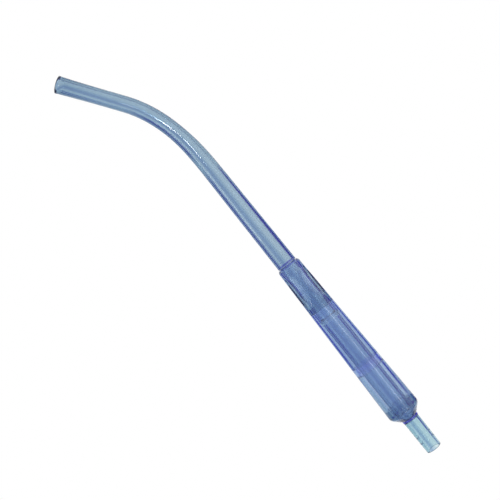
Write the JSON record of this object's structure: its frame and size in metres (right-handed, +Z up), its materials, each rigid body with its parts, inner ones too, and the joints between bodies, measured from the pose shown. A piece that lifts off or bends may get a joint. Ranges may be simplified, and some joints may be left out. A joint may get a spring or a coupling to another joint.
{
  "type": "rigid suction tip",
  "caption": "Rigid clear-blue suction tip: a bent tube with a flared open mouth, a hollow tapered grip with scooped finger rests, and a plain nozzle for the suction hose.",
  "frame": {"origin": "centre of the bottom of the part's box, on the surface that the part lies on", "axes": "+X along the grip's straight axis towards the hose nozzle; the tube's bend lies flat and turns the mouth towards -Y; +Z up, square to the plane of the bend"},
  "size_m": [0.2752, 0.0484, 0.0182],
  "materials": {
    "tube_blue": "polished clear pale-blue rigid plastic",
    "grip_blue": "polished clear blue-violet rigid plastic",
    "nozzle_clear": "polished clear, very pale cyan rigid plastic"
  },
  "bodies": {
    "root": {"suction_tube": "tube_blue", "front_grip": "grip_blue", "rear_grip": "grip_blue", "flow_tube": "tube_blue", "hose_nozzle": "nozzle_clear"}
  },
  "joints": []
}
